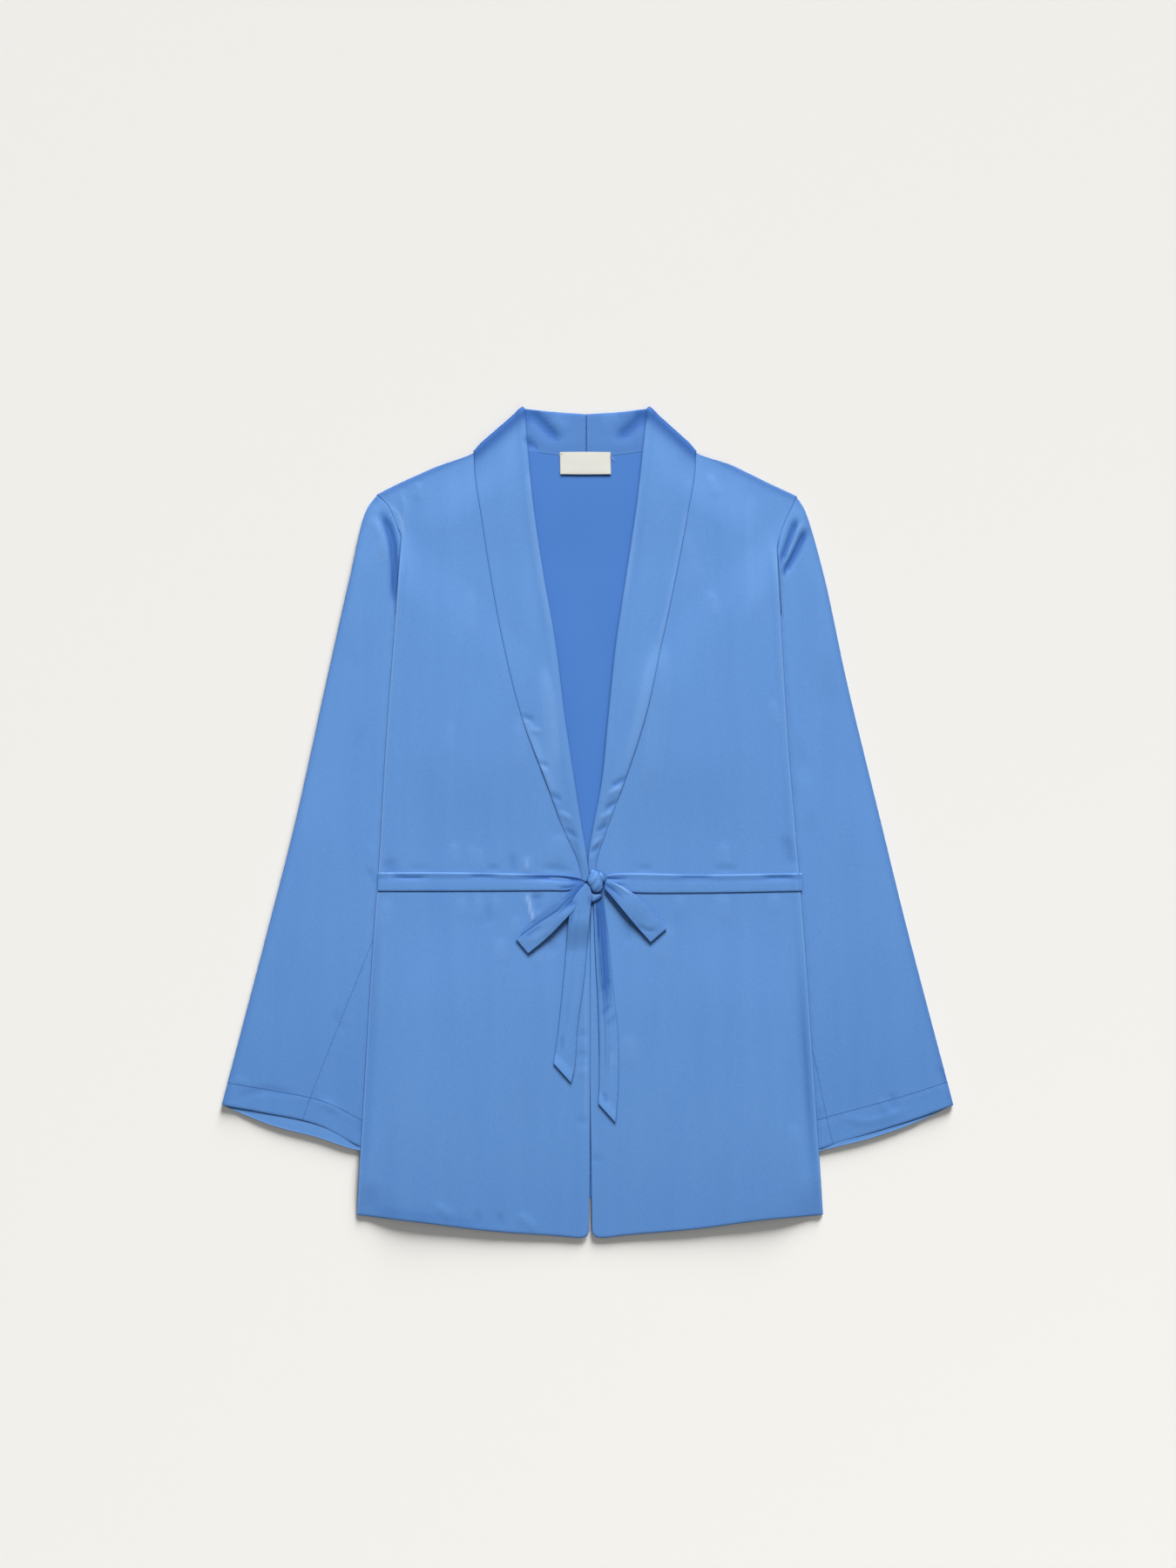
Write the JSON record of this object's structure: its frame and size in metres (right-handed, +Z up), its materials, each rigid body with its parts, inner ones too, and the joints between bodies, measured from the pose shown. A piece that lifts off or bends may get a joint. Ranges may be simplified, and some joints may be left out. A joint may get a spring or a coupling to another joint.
{
  "type": "kimono jacket",
  "caption": "Satin kimono jacket laid out flat, with a shawl collar, long flared sleeves, open straight fronts and a narrow belt tied in a bow.",
  "frame": {"origin": "on the surface that the jacket lies on, under the middle of the laid-out jacket", "axes": "+Y to the neck, +Z up from the surface and out of the fronts, +X to the right as seen from above with the neck at the top"},
  "size_m": [0.713, 0.8091, 0.0127],
  "materials": {
    "satin": "satin, smooth and softly shiny",
    "satin_inside": "matt inside of the satin",
    "label": "woven, matt"
  },
  "bodies": {
    "root": {"back": "satin_inside", "front_left": "satin", "front_right": "satin", "sleeve_left": "satin", "sleeve_right": "satin", "collar_left": "satin", "collar_right": "satin", "belt_left": "satin", "belt_right": "satin", "loop_left": "satin", "loop_right": "satin", "tail_left": "satin", "tail_right": "satin", "knot": "satin", "label": "label"}
  },
  "joints": []
}
